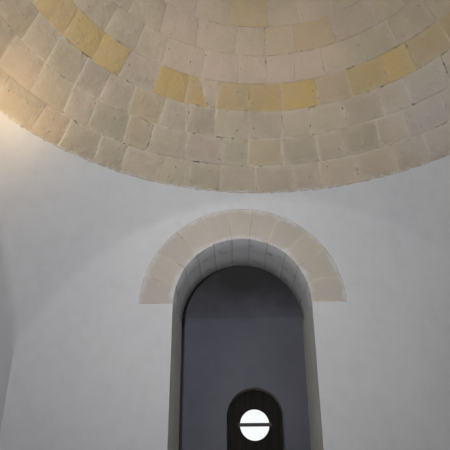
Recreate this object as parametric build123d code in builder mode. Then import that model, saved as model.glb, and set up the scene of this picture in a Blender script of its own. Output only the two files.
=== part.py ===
"""One-room trullo: a square domed room of limestone with a vaulted alcove behind it.

Millimetres, +Z up, z = 0 at the ground. The origin is the middle of the square room. The entrance
faces -Y, the alcove lies on +Y. Heights above the floor are turned into z by adding floor_top.
"""

import os
from math import radians, sqrt, tan

from build123d import *

# Square room
room_width = 4000  # clear, wall to wall
wall_base_thickness = 720  # at the ground
wall_top_thickness = 620  # the outer face leans in as it rises
wall_over_dome_foot = 352  # the walls stand this much higher than the dome's foot
wall_corner = 160  # radius of the outer corners
floor_thickness = 120

# Arched opening, the same in the entrance wall and in the wall of the alcove
arch_offset = -220  # middle of the opening, along X
arch_radius = 556
arch_ring = 274  # depth of the voussoirs
arch_springing = 1570  # above the floor
arch_shoulder = 160  # wall kept beside the voussoirs by the piece over the arch
voussoir_count = 11
arch_joint = 6  # mortar joint between two voussoirs

# Pendentives: one sphere through the four corner springings and the four lunette tops
corner_springing = 1205  # above the floor
lunette_top = 2475  # above the floor
ring_inset = 60  # the dome's foot lies this far inside the middle of each wall

# Corbelled dome
dome_lean = 31.3  # degrees from upright
dome_thickness = 240  # along the bed of a course
course_rise = 196
single_courses = 7  # the courses seen from the door, each a piece of its own
upper_groups = 3  # the higher courses, grouped
smallest_eye = 120  # the courses stop before the eye gets smaller than this radius
closing_stone_thickness = 110

# Roof
coping_thickness = 80
coping_projection = 50
roof_inset = 60  # from the top edge of the wall to the cone's foot
roof_fill_cover = 160  # rubble between the closing stone and the slabs, measured level
roof_slab_cover = 150  # stone slabs over the rubble, measured level
roof_ring_rise = 52  # one ring of slabs, each set back behind the one below
eaves_thickness = 60
eaves_projection = 60
eaves_bearing = 400
roof_top_radius = 330

# Pinnacle
pinnacle_collar_radius = 360
pinnacle_collar_height = 110
pinnacle_collar_round = 36
pinnacle_stem_foot = 210
pinnacle_stem_neck = 110
pinnacle_stem_height = 330
pinnacle_ball_radius = 180
pinnacle_seat = 35  # how much of the ball is cut off where it sits

# Alcove behind the room
alcove_width = 2400
alcove_depth = 1240  # clear, from the foot of the room's wall
alcove_wall = 500
alcove_roof_drop = 100  # top of the slabs under the top of the room's wall
alcove_roof_fall = 200  # from the room's wall to the outside of the end wall
alcove_roof_slab = 100
alcove_roof_row = 170  # length of a row of slabs that the next row leaves bare
alcove_roof_lip = 22  # each row's lower edge stands this high over the next row
alcove_crown_cover = 180  # masonry between the slabs and the top of the half vault
alcove_vault_rise = 550  # the half vault climbs this much to the room's wall
alcove_roof_overhang = 70

# Small arched window in the end wall, closed by a timber panel with a round light
window_offset = 130  # from the middle of the arch
window_width = 620
window_sill = 380  # above the floor
window_springing = 840  # above the floor
panel_thickness = 45
panel_depth = 220  # from the inner face of the end wall
light_height = 775  # middle of the round light, above the floor
light_radius = 165
light_bar_height = 38
light_bar_thickness = 12
light_bar_lap = 25  # the bar runs this far onto the panel at each end
glass_thickness = 6

# Room and walls, worked out
half_room = room_width / 2
base_half = half_room + wall_base_thickness
top_half = half_room + wall_top_thickness
floor_top = floor_thickness
arch_z = floor_top + arch_springing
arch_outer = arch_radius + arch_ring
over_half = arch_outer + arch_shoulder

# Pendentive sphere and dome, worked out
corner_z = floor_top + corner_springing
lunette_z = floor_top + lunette_top
corner_radius = half_room * sqrt(2)
sphere_z = (corner_z + lunette_z) / 2 - (corner_radius**2 - half_room**2) / (2 * (lunette_z - corner_z))
sphere_radius = sqrt(corner_radius**2 + (corner_z - sphere_z) ** 2)
dome_radius = half_room - ring_inset
dome_z = sphere_z + sqrt(sphere_radius**2 - dome_radius**2)
dome_slope = tan(radians(dome_lean))
course_count = int((dome_radius - smallest_eye) / (course_rise * dome_slope))
dome_top = dome_z + course_count * course_rise
wall_height = dome_z + wall_over_dome_foot

# Roof, worked out
coping_top = wall_height + coping_thickness
eaves_top = coping_top + eaves_thickness
roof_radius = top_half - roof_inset
closing_top = dome_top + closing_stone_thickness
closing_radius = dome_radius - (dome_top - dome_z) * dome_slope + dome_thickness
roof_radius_at_closing = closing_radius + roof_fill_cover + roof_slab_cover
roof_slope = (roof_radius - roof_radius_at_closing) / (closing_top - eaves_top)
roof_top = eaves_top + (roof_radius - roof_top_radius) / roof_slope
roof_rings = round((roof_top - eaves_top) / roof_ring_rise)

# Alcove, worked out
alcove_left = arch_offset - alcove_width / 2
alcove_right = arch_offset + alcove_width / 2
alcove_end = base_half + alcove_depth
alcove_outer = alcove_end + alcove_wall
alcove_roof_high = wall_height - alcove_roof_drop
vault_top = alcove_roof_high - alcove_roof_slab - alcove_crown_cover
alcove_z = vault_top - alcove_vault_rise

os.makedirs("parts", exist_ok=True)


def save(piece, name):
    """Label a finished piece and write it."""
    piece.part.label = name
    export_step(piece.part, f"parts/{name}.step")


def dome_radius_at(z):
    """Inner radius of the dome at a height."""
    return dome_radius - (z - dome_z) * dome_slope


# Tapered block that the outer faces of the room's walls lie on
with BuildPart() as house_block:
    with BuildSketch():
        RectangleRounded(2 * base_half, 2 * base_half, wall_corner)
    with BuildSketch(Plane.XY.offset(wall_height)):
        RectangleRounded(2 * top_half, 2 * top_half, wall_corner)
    loft(ruled=True)

# Space that the dome takes with its stones, cut out of the walls and the rubble round it
with BuildPart() as dome_block:
    with BuildSketch(Plane.XZ):
        Polygon(
            (0, dome_z),
            (dome_radius + dome_thickness, dome_z),
            (dome_radius_at(dome_top) + dome_thickness, dome_top),
            (dome_radius_at(dome_top) + dome_thickness, closing_top),
            (0, closing_top),
            align=None,
        )
    revolve(axis=Axis.Z)

# Arched opening with room for its voussoirs, through both walls
with BuildPart() as arch_opening:
    with BuildSketch(Plane.XZ):
        with Locations((arch_offset, arch_z)):
            Circle(arch_outer)
            Rectangle(3 * arch_outer, 2 * arch_outer, align=(Align.CENTER, Align.MAX), mode=Mode.SUBTRACT)
        with Locations((arch_offset, 0)):
            Rectangle(2 * arch_radius, arch_z, align=(Align.CENTER, Align.MIN))
    extrude(amount=base_half, both=True)

# All four walls in one, cut up into pieces below
with BuildPart() as wall_ring:
    add(house_block.part)
    Box(room_width, room_width, 3 * wall_height, mode=Mode.SUBTRACT)
    add(dome_block.part, mode=Mode.SUBTRACT)
    add(arch_opening.part, mode=Mode.SUBTRACT)

# Side walls, between the front and back walls
for name, side in (("left_wall", -1), ("right_wall", 1)):
    with BuildPart() as side_wall:
        add(wall_ring.part)
        with Locations((side * (half_room + base_half) / 2, 0, wall_height / 2)):
            Box(base_half - half_room, room_width, wall_height, mode=Mode.INTERSECT)
    save(side_wall, name)

# Front and back walls: a pier on each side of the arch, and the piece over it
for wall_name, facing in (("front_wall", -1), ("back_wall", 1)):
    middle_y = facing * (half_room + base_half) / 2
    depth = base_half - half_room

    for side_name, side in (("left", -1), ("right", 1)):
        with BuildPart() as pier:
            add(wall_ring.part)
            with Locations((arch_offset, middle_y, 0)):
                Box(
                    2 * base_half,
                    depth,
                    wall_height,
                    align=(Align.MAX if side < 0 else Align.MIN, Align.CENTER, Align.MIN),
                    mode=Mode.INTERSECT,
                )
            with Locations((arch_offset, middle_y, arch_z)):
                Box(
                    2 * over_half,
                    2 * depth,
                    wall_height,
                    align=(Align.CENTER, Align.CENTER, Align.MIN),
                    mode=Mode.SUBTRACT,
                )
        save(pier, f"{wall_name}_{side_name}")

    with BuildPart() as over_arch:
        add(wall_ring.part)
        with Locations((arch_offset, middle_y, arch_z)):
            Box(
                2 * over_half,
                depth,
                wall_height,
                align=(Align.CENTER, Align.CENTER, Align.MIN),
                mode=Mode.INTERSECT,
            )
    save(over_arch, f"{wall_name}_over_arch")

# Voussoir arches: a half ring parted by radial mortar joints, its ends on the piers
for name, facing in (("door_arch", 1), ("alcove_arch", -1)):
    with BuildPart() as arch:
        with BuildSketch(Plane.XZ):
            with Locations((arch_offset, arch_z)):
                Circle(arch_outer)
                Circle(arch_radius, mode=Mode.SUBTRACT)
                Rectangle(3 * arch_outer, 2 * arch_outer, align=(Align.CENTER, Align.MAX), mode=Mode.SUBTRACT)
                for joint in range(1, voussoir_count):
                    Rectangle(
                        2 * arch_outer,
                        arch_joint,
                        rotation=180 * joint / voussoir_count,
                        align=(Align.MIN, Align.CENTER),
                        mode=Mode.SUBTRACT,
                    )
        extrude(amount=facing * base_half)
        add(house_block.part, mode=Mode.INTERSECT)
        Box(room_width, room_width, 3 * wall_height, mode=Mode.SUBTRACT)
    save(arch, name)

# Floor of the room, and the thresholds that carry it through the two openings
with BuildPart() as room_floor:
    with BuildSketch():
        Rectangle(room_width, room_width)
    extrude(amount=floor_thickness)
save(room_floor, "room_floor")

for name, facing in (("front_threshold", -1), ("back_threshold", 1)):
    with BuildPart() as threshold:
        with BuildSketch():
            with Locations((arch_offset, facing * (half_room + base_half) / 2)):
                Rectangle(2 * arch_radius, base_half - half_room)
        extrude(amount=floor_thickness)
        add(house_block.part, mode=Mode.INTERSECT)
    save(threshold, name)

# Pendentives: what is left of each corner of the room outside the sphere
for name, side_x, side_y in (
    ("pendentive_front_left", -1, -1),
    ("pendentive_front_right", 1, -1),
    ("pendentive_back_left", -1, 1),
    ("pendentive_back_right", 1, 1),
):
    with BuildPart() as pendentive:
        with BuildSketch(Plane.XY.offset(corner_z)):
            with Locations((side_x * half_room / 2, side_y * half_room / 2)):
                Rectangle(half_room, half_room)
        extrude(amount=dome_z - corner_z)
        with Locations((0, 0, sphere_z)):
            Sphere(sphere_radius, mode=Mode.SUBTRACT)
    save(pendentive, name)


def dome_ring(first, last, name):
    """Corbelled courses first to last: level beds, and faces that lean in."""
    foot = dome_z + first * course_rise
    head = dome_z + last * course_rise
    with BuildPart() as ring:
        with BuildSketch(Plane.XZ):
            Polygon(
                (dome_radius_at(foot), foot),
                (dome_radius_at(foot) + dome_thickness, foot),
                (dome_radius_at(head) + dome_thickness, head),
                (dome_radius_at(head), head),
                align=None,
            )
        revolve(axis=Axis.Z)
    save(ring, name)


for course in range(single_courses):
    dome_ring(course, course + 1, f"dome_course_{course + 1}")

upper_courses = course_count - single_courses
for group in range(upper_groups):
    first = single_courses + round(upper_courses * group / upper_groups)
    last = single_courses + round(upper_courses * (group + 1) / upper_groups)
    dome_ring(first, last, f"dome_upper_courses_{group + 1}")

with BuildPart() as closing_stone:
    with BuildSketch(Plane.XY.offset(dome_top)):
        Circle(dome_radius_at(dome_top) + dome_thickness)
    extrude(amount=closing_stone_thickness)
save(closing_stone, "closing_stone")

# Masonry over the pendentives, up to the top of the walls
with BuildPart() as corner_fill:
    with BuildSketch(Plane.XY.offset(dome_z)):
        Rectangle(room_width, room_width)
    extrude(amount=wall_height - dome_z)
    add(dome_block.part, mode=Mode.SUBTRACT)
save(corner_fill, "corner_fill")

# Square coping course that covers the walls and carries the cone
with BuildPart() as coping:
    with BuildSketch(Plane.XY.offset(wall_height)):
        RectangleRounded(
            2 * (top_half + coping_projection),
            2 * (top_half + coping_projection),
            wall_corner + coping_projection,
        )
    extrude(amount=coping_thickness)
    add(dome_block.part, mode=Mode.SUBTRACT)
save(coping, "coping")

# First course of the cone, which throws the rain clear of it
with BuildPart() as eaves:
    with BuildSketch(Plane.XY.offset(coping_top)):
        Circle(roof_radius + eaves_projection)
        Circle(roof_radius - eaves_bearing, mode=Mode.SUBTRACT)
    extrude(amount=eaves_thickness)
save(eaves, "eaves_course")

# Rubble between the dome and the stone slabs of the cone
with BuildPart() as roof_fill:
    with BuildSketch(Plane.XZ):
        Polygon(
            (0, coping_top),
            (roof_radius - eaves_bearing, coping_top),
            (roof_radius - eaves_bearing, eaves_top),
            (roof_radius - roof_slab_cover, eaves_top),
            (roof_top_radius - roof_slab_cover, roof_top),
            (0, roof_top),
            align=None,
        )
    revolve(axis=Axis.Z)
    add(dome_block.part, mode=Mode.SUBTRACT)
save(roof_fill, "roof_fill")

# Rings of slabs: a level bed and an upright edge for each, stepping in up the cone
ring_rise = (roof_top - eaves_top) / roof_rings
ring_setback = (roof_radius - roof_top_radius) / (roof_rings - 1)
ring_steps = []
for ring in range(roof_rings):
    edge = roof_radius - ring * ring_setback
    bed = eaves_top + ring * ring_rise
    ring_steps += [(edge, bed), (edge, bed + ring_rise)]
with BuildPart() as roof_slabs:
    with BuildSketch(Plane.XZ):
        Polygon(
            (roof_radius - roof_slab_cover, eaves_top),
            *ring_steps,
            (roof_top_radius - roof_slab_cover, roof_top),
            align=None,
        )
    revolve(axis=Axis.Z)
save(roof_slabs, "roof_slabs")

# Pinnacle: a collar slab, a tapered stem and a ball with a flat seat
stem_z = roof_top + pinnacle_collar_height
ball_z = stem_z + pinnacle_stem_height
with BuildPart() as pinnacle_collar:
    with BuildSketch(Plane.XY.offset(roof_top)):
        Circle(pinnacle_collar_radius)
    extrude(amount=pinnacle_collar_height)
    fillet(pinnacle_collar.edges().group_by(Axis.Z)[-1], pinnacle_collar_round)
save(pinnacle_collar, "pinnacle_collar")

with BuildPart() as pinnacle_stem:
    with BuildSketch(Plane.XY.offset(stem_z)):
        Circle(pinnacle_stem_foot)
    with BuildSketch(Plane.XY.offset(ball_z)):
        Circle(pinnacle_stem_neck)
    loft()
save(pinnacle_stem, "pinnacle_stem")

with BuildPart() as pinnacle_ball:
    with Locations((0, 0, ball_z + pinnacle_ball_radius - pinnacle_seat)):
        Sphere(pinnacle_ball_radius)
    split(bisect_by=Plane.XY.offset(ball_z), keep=Keep.TOP)
save(pinnacle_ball, "pinnacle_ball")


def wall_face_at(z):
    """Distance from the room's middle to the outer face of its walls, at a height."""
    return base_half - (base_half - top_half) * z / wall_height


def alcove_roof_line(y):
    """Height of the alcove's roof slabs at a distance behind the room."""
    return alcove_roof_high - alcove_roof_fall * (y - top_half) / (alcove_outer - top_half)


def alcove_mass(left, right, foot, front, back):
    """Masonry under the alcove's roof between two X and two Y positions, cut off at the room's wall."""
    with BuildPart() as mass:
        with BuildSketch(Plane.YZ.offset(left)):
            Polygon(
                (front, foot),
                (back, foot),
                (back, alcove_roof_line(back) - alcove_roof_slab),
                (front, alcove_roof_line(front) - alcove_roof_slab),
                align=None,
            )
        extrude(amount=right - left)
        add(house_block.part, mode=Mode.SUBTRACT)
    return mass.part


# Alcove: two side walls, an end wall, and a half vault that leans on the room's wall
for name, left in (("alcove_left_wall", alcove_left - alcove_wall), ("alcove_right_wall", alcove_right)):
    with BuildPart() as alcove_side:
        add(alcove_mass(left, left + alcove_wall, 0, half_room, alcove_outer))
    save(alcove_side, name)

window_x = arch_offset + window_offset
window_z = floor_top + window_springing
with BuildPart() as end_wall:
    with BuildSketch(Plane.XZ.offset(-alcove_outer)):
        with Locations((arch_offset, 0)):
            Rectangle(alcove_width, alcove_z, align=(Align.CENTER, Align.MIN))
        with Locations((window_x, floor_top + window_sill)):
            Rectangle(
                window_width,
                window_springing - window_sill,
                align=(Align.CENTER, Align.MIN),
                mode=Mode.SUBTRACT,
            )
        with Locations((window_x, window_z)):
            Circle(window_width / 2, mode=Mode.SUBTRACT)
    extrude(amount=alcove_wall)
save(end_wall, "alcove_end_wall")

vault_span = alcove_end - wall_face_at(vault_top)
vault_radius = (vault_span**2 + alcove_vault_rise**2) / (2 * alcove_vault_rise)
with BuildPart() as alcove_vault:
    add(alcove_mass(alcove_left, alcove_right, alcove_z, half_room, alcove_outer))
    with BuildSketch(Plane.YZ.offset(alcove_left)):
        with Locations((wall_face_at(vault_top), vault_top - vault_radius)):
            Circle(vault_radius)
    extrude(amount=alcove_width, mode=Mode.SUBTRACT)
save(alcove_vault, "alcove_vault")

with BuildPart() as alcove_floor:
    with BuildSketch():
        with Locations((arch_offset, half_room)):
            Rectangle(alcove_width, alcove_end - half_room, align=(Align.CENTER, Align.MIN))
    extrude(amount=floor_thickness)
    add(house_block.part, mode=Mode.SUBTRACT)
save(alcove_floor, "alcove_floor")

# Lapped rows of slabs, from the eave up to the room's wall
alcove_eave = alcove_outer + alcove_roof_overhang
row_count = round((alcove_eave - half_room) / alcove_roof_row)
row_length = (alcove_eave - half_room) / row_count
row_steps = []
for row in range(row_count):
    lip_y = alcove_eave - row * row_length
    row_steps += [
        (lip_y, alcove_roof_line(lip_y) + alcove_roof_lip),
        (lip_y - row_length, alcove_roof_line(lip_y - row_length)),
    ]
with BuildPart() as alcove_roof:
    with BuildSketch(Plane.YZ.offset(alcove_left - alcove_wall - alcove_roof_overhang)):
        Polygon(
            (half_room, alcove_roof_line(half_room) - alcove_roof_slab),
            (alcove_eave, alcove_roof_line(alcove_eave) - alcove_roof_slab),
            *row_steps,
            align=None,
        )
    extrude(amount=alcove_width + 2 * (alcove_wall + alcove_roof_overhang))
    add(house_block.part, mode=Mode.SUBTRACT)
save(alcove_roof, "alcove_roof")

# Window panel with its round light, glass and bar
panel_face = alcove_end + panel_depth
light_z = floor_top + light_height
with BuildPart() as window_panel:
    with BuildSketch(Plane.XZ.offset(-panel_face)):
        with Locations((window_x, floor_top + window_sill)):
            Rectangle(window_width, window_springing - window_sill, align=(Align.CENTER, Align.MIN))
        with Locations((window_x, window_z)):
            Circle(window_width / 2)
        with Locations((window_x, light_z)):
            Circle(light_radius, mode=Mode.SUBTRACT)
    extrude(amount=-panel_thickness)
save(window_panel, "window_panel")

with BuildPart() as window_glass:
    with BuildSketch(Plane.XZ.offset(-panel_face - panel_thickness / 2)):
        with Locations((window_x, light_z)):
            Circle(light_radius)
    extrude(amount=glass_thickness / 2, both=True)
save(window_glass, "window_glass")

with BuildPart() as window_bar:
    with BuildSketch(Plane.XZ.offset(-panel_face)):
        with Locations((window_x, light_z)):
            Rectangle(2 * (light_radius + light_bar_lap), light_bar_height)
    extrude(amount=light_bar_thickness)
save(window_bar, "window_bar")
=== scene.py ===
# %% [markdown]
# # A one-room trullo, dressed from the inside out
# A trullo is a limestone house: a square room, whitewashed, under a cone of stone that is laid in rings.
# Its solids come ready made, in metres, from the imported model. This lesson gives them the finish that a
# visitor sees: worn blocks in the dome and the arches, trowelled plaster that rounds every corner, and
# thin slabs on the roof. Nothing here moves or resizes a solid.

# %% The frame
import math
import random

import bmesh
import bpy
import numpy as np
from mathutils import Euler, Matrix, Vector, noise


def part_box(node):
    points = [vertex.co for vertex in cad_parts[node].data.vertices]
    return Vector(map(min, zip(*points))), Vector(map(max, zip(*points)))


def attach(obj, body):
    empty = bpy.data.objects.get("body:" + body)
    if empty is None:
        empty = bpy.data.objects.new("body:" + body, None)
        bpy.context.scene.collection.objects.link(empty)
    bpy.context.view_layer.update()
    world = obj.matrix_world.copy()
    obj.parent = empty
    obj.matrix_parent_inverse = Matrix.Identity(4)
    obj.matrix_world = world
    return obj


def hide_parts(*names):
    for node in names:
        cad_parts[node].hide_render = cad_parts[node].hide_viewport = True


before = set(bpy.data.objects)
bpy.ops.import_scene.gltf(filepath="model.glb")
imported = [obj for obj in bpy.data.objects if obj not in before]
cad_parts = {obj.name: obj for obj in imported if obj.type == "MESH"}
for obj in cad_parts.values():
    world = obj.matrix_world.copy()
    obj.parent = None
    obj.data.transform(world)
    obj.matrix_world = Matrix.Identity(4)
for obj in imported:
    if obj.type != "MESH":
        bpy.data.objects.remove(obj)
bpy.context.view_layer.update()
print("the frame holds", len(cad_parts), "nodes")

# %% [markdown]
# ## The sizes that the finish has to meet
# Every stone and every coat of plaster lies on a solid, so its place is read from that solid's box. Only
# what a box can't tell, such as how thick the dome is, is written down here.

# %% The room, the arches and the dome, read from the frame
WALL_TAPER = 0.1
DOME_THICKNESS = 0.24

half_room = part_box("room_floor")[1].x
floor_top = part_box("room_floor")[1].z
wall_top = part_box("left_wall")[1].z
wall_foot_face = -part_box("left_wall")[0].x
wall_top_face = wall_foot_face - WALL_TAPER

arch_low, arch_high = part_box("alcove_arch")
arch_x = (arch_low.x + arch_high.x) / 2
arch_outer = (arch_high.x - arch_low.x) / 2
arch_inner = (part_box("back_threshold")[1].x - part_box("back_threshold")[0].x) / 2
arch_z = arch_low.z

dome_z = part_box("dome_course_1")[0].z
course_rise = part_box("dome_course_1")[1].z - dome_z
dome_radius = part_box("dome_course_1")[1].x - DOME_THICKNESS
dome_slope = (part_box("dome_course_1")[1].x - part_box("dome_course_2")[1].x) / course_rise
course_count = round((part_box("closing_stone")[0].z - dome_z) / course_rise)
print("room", 2 * half_room, "wide, dome", course_count, "courses from", round(dome_z, 3))

# %% [markdown]
# ## The camera
# The photograph looks up from low in the open doorway, so that the arch, the curved corners and the
# dome's lower rings fill the picture. The place and the lens below were fitted to the room's own lines.
# The view is level from side to side within half a degree, which the roll takes up.

# %% The camera in the doorway
CAMERA_PLACE = Vector((-0.251, -2.015, 0.57))
CAMERA_LENS = 41.2
CAMERA_YAW = math.radians(-1.46)
CAMERA_PITCH = math.radians(24.23)
CAMERA_ROLL = math.radians(-0.38)

camera = bpy.data.objects.new("camera", bpy.data.cameras.new("camera"))
camera.data.lens = CAMERA_LENS
camera.data.sensor_width = 36
camera.data.clip_start = 0.02
aim = Euler((math.pi / 2 + CAMERA_PITCH, 0, -CAMERA_YAW)).to_matrix() @ Matrix.Rotation(CAMERA_ROLL, 3, "Z")
camera.matrix_world = Matrix.Translation(CAMERA_PLACE) @ aim.to_4x4()
bpy.context.scene.collection.objects.link(camera)
bpy.context.scene.camera = camera
print("camera", round(CAMERA_PLACE.z - floor_top, 2), "m above the floor")

# %% [markdown]
# ## Nodes that read as arithmetic
# A material and a Geometry Nodes tree are both webs of small steps. Written out node by node, the recipe
# is lost in the wiring. So a field stands for one output of a node here. Sums and products of fields add
# the nodes and their links, with vector nodes wherever a vector or a colour takes part.

# %% Fields
def feed(tree, node, feeds):
    """Feed a node's inputs with values or with fields."""
    for socket, source in feeds.items():
        if isinstance(source, Field):
            tree.links.new(source.socket, node.inputs[socket])
        else:
            node.inputs[socket].default_value = source


def add_node(tree, kind, feeds=None, **settings):
    """Add a node, set its properties and feed its inputs."""
    node = tree.nodes.new(kind)
    for name, value in settings.items():
        setattr(node, name, value)
    feed(tree, node, feeds or {})
    return node


def new_field(tree, kind, feeds=None, output=0, **settings):
    """One output of a new node."""
    return Field(tree, add_node(tree, kind, feeds, **settings).outputs[output])


def arithmetic(operation, *terms):
    """One step of arithmetic on fields, numbers and vectors, of which one at least is a field."""
    fields = [term for term in terms if isinstance(term, Field)]
    plain = all(field.socket.type == "VALUE" for field in fields)
    plain = plain and not any(isinstance(term, tuple) for term in terms)
    if not plain:
        terms = [(term,) * 3 if isinstance(term, (int, float)) else term for term in terms]
    kind = "ShaderNodeMath" if plain else "ShaderNodeVectorMath"
    return new_field(fields[0].tree, kind, dict(enumerate(terms)), operation=operation)


class Field:
    """An output of a node in a tree."""

    def __init__(self, tree, socket):
        self.tree, self.socket = tree, socket

    def __add__(self, other):
        return arithmetic("ADD", self, other)

    def __sub__(self, other):
        return arithmetic("SUBTRACT", self, other)

    def __rsub__(self, other):
        return arithmetic("SUBTRACT", other, self)

    def __mul__(self, other):
        return arithmetic("MULTIPLY", self, other)

    def __truediv__(self, other):
        return arithmetic("DIVIDE", self, other)

    def most(self, other):
        """The greater of two."""
        return arithmetic("MAXIMUM", self, other)

    def least(self, other):
        """The lesser of two."""
        return arithmetic("MINIMUM", self, other)

    def axes(self):
        """X, Y and Z of a vector."""
        axes = add_node(self.tree, "ShaderNodeSeparateXYZ", {0: self}).outputs
        return [Field(self.tree, axis) for axis in axes]

    def remap(self, low, high, out_low=0.0, out_high=1.0):
        """Low..high becomes out_low..out_high, held at the ends."""
        feeds = {"Value": self, "From Min": low, "From Max": high, "To Min": out_low, "To Max": out_high}
        return new_field(self.tree, "ShaderNodeMapRange", feeds)

    def mix(self, first, second):
        """First colour where this is 0, second where it is 1."""
        return new_field(self.tree, "ShaderNodeMix", {0: self, 6: first, 7: second}, 2, data_type="RGBA")


# %% [markdown]
# ## The light and the floor around the house
# Outside, a pale even sky and two broad lamps show the walls and the roof. Rays that reach the sky
# directly see it white, and everything else is lit by it a little less. Inside, no sky reaches the dome. A
# small bright lamp beside the viewer, in the doorway, throws the arch's shadow. A broad one over the
# viewer's head, a warm one under the dome and a weak one in it take the place of the light that white
# walls throw about, and one more glows warmly where the dome's rim meets the left corner.

# %% Sky, lamps and floor
SKY_LIGHT = 0.65
SKY_SHOWN = 1.0
WHITE = (1, 1, 1)
COOL = (0.93, 0.97, 1)
WARM = (1, 0.88, 0.68)
GLOW = (1, 0.71, 0.36)
HOUSE_MIDDLE = (0, 0, 2.5)


def light_sky():
    """An even sky that looks whiter than it lights."""
    world = bpy.data.worlds.new("pale_sky")
    world.use_nodes = True
    bpy.context.scene.world = world
    tree = world.node_tree
    rays = add_node(tree, "ShaderNodeLightPath").outputs
    seen, mirrored, through = (
        Field(tree, rays[name]) for name in ("Is Camera Ray", "Is Glossy Ray", "Is Transmission Ray")
    )
    strength = seen.most(mirrored).most(through).remap(0, 1, SKY_LIGHT, SKY_SHOWN)
    feed(tree, tree.nodes["Background"], {"Strength": strength, "Color": (*WHITE, 1)})


def add_lamp(name, place, target, size, watts, tint=WHITE, spread=180):
    """A square area lamp that looks at a point and doesn't show itself."""
    data = bpy.data.lights.new(name, "AREA")
    data.size = size
    data.energy = watts
    data.color = tint
    data.spread = math.radians(spread)
    lamp = bpy.data.objects.new(name, data)
    aim = (Vector(target) - Vector(place)).to_track_quat("-Z", "Y").to_matrix().to_4x4()
    lamp.matrix_world = Matrix.Translation(place) @ aim
    lamp.visible_camera = False
    bpy.context.scene.collection.objects.link(lamp)


light_sky()
add_lamp("outside_key", (-22, -26, 24), HOUSE_MIDDLE, 10, 5200)
add_lamp("outside_fill", (28, 18, 16), HOUSE_MIDDLE, 14, 1700)
add_lamp("doorway_lamp", (-0.38, -2.04, 0.58), (-0.45, 2, 2.25), 0.05, 20, COOL, 96)
add_lamp("front_lamp", (0.45, -1.5, 2.9), (-0.6, 1.8, 2.4), 0.8, 12.6, COOL)
add_lamp("high_lamp", (-1.0, -0.6, 2.5), (0.3, 1.2, 3.5), 0.5, 8, WARM)
add_lamp("dome_lamp", (-0.75, -0.3, 3.7), (-0.1, 2, 1.7), 0.8, 2.8, COOL)
add_lamp("rim_lamp", (-1.36, 0.59, 2.34), (-2.88, 0.8, 3.21), 0.1, 2.35, GLOW, 160)

bpy.ops.mesh.primitive_plane_add(size=160)
ground = bpy.context.object
ground.name = "studio_floor"

# %% [markdown]
# ## Materials
# All stone here is one limestone, seen in different states: dressed blocks in the dome, some of them
# ochre, smoother blocks in the arches, grey weathered slabs on the roof. So one recipe makes them all. It
# mixes a light and a dark tone by broad stains, adds fine grain and dark pits, and reads two values from
# each block: its tone, and how ochre it is. A block also knows how far each of its points is from its
# edges, so that lime mortar can be smeared over them, thick in one place and gone in the next. High in
# the dome the lime is washed thin, and the joints are faint.

# %% The start and the end of every material
class Recipe:
    """A new material, with the fields that its colour and its bumps are made from."""

    def __init__(self, name, shader_values):
        self.material = bpy.data.materials.new(name)
        self.material.use_nodes = True
        self.tree = self.material.node_tree
        self.shader = self.tree.nodes["Principled BSDF"]
        feed(self.tree, self.shader, shader_values)
        self.place = new_field(self.tree, "ShaderNodeTexCoord", output="Object")

    def noise(self, scale, detail=4.0, roughness=0.55, place=None):
        """Noise with cells of about 1 / scale metres, from 0 to 1."""
        feeds = {"Vector": place or self.place, "Scale": scale, "Detail": detail, "Roughness": roughness}
        return new_field(self.tree, "ShaderNodeTexNoise", feeds, "Fac")

    def carried(self, name, output="Fac"):
        """A number, or with the output Vector a vector, that the points of a piece carry."""
        return new_field(self.tree, "ShaderNodeAttribute", output=output, attribute_name=name)

    def stretched(self, scale):
        """The place, with its axes scaled."""
        return new_field(self.tree, "ShaderNodeMapping", {"Vector": self.place, "Scale": scale})

    def finished(self, bumps, depth, colour=None):
        """The material, with bumps as deep as said from (height, weight) pairs, and with its colour."""
        total, *others = [height * weight for height, weight in bumps]
        for height in others:
            total = total + height
        bump = new_field(self.tree, "ShaderNodeBump", {"Height": total, "Distance": depth, "Strength": 1.0})
        feed(self.tree, self.shader, {"Normal": bump})
        if colour:
            feed(self.tree, self.shader, {"Base Color": colour})
        return self.material


# %% What lime, weather and wear do to stone
MORTAR = (0.62, 0.565, 0.47, 1)
LIMED_STONE = (0.64, 0.64, 0.68, 1)
OCHRE = (0.57, 0.405, 0.165, 1)
OCHRE_LIME = (0.60, 0.455, 0.23, 1)
GREY_LIME = (0.52, 0.5, 0.5, 1)
WARM_LIME = (0.7, 0.52, 0.43, 1)
PALE_LICHEN = (0.55, 0.53, 0.46, 1)
RUSTY_LICHEN = (0.42, 0.32, 0.14, 1)
DARK_BLOT = (0.33, 0.32, 0.33, 1)
DARK_GRAIN = (0.2, 0.18, 0.15, 1)
DARK_PIT = (0.09, 0.075, 0.06, 1)
WASH_STRENGTH = 0.48
JOINTS_FADE = (3.3, 3.7)
FAINT = 0.15


def block_tones(stone, colour, contrast):
    """Each block's own tone and hue, and ochre on some, stronger in one place than in the next."""
    tone = stone.carried("tone")
    hue = arithmetic("FRACT", tone * 7.3)
    colour = colour * hue.mix((1.02, 0.99, 1.02, 1), (0.985, 1.005, 0.945, 1))
    unevenly = stone.noise(4.5, 4.0, 0.6).remap(0.38, 0.58, 0.68, 1)
    colour = (stone.carried("ochre") * unevenly).mix(colour, OCHRE)
    return tone.remap(0, 1, 0, contrast).mix(colour, colour * (0.7, 0.72, 0.76))


def uneven_lime(stone):
    """How much lime fills a joint: it comes and goes along the wall, from 0 to 1."""
    return stone.noise(3.1, 3.0).remap(0.4, 0.6, 0.05, 1)


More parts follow.
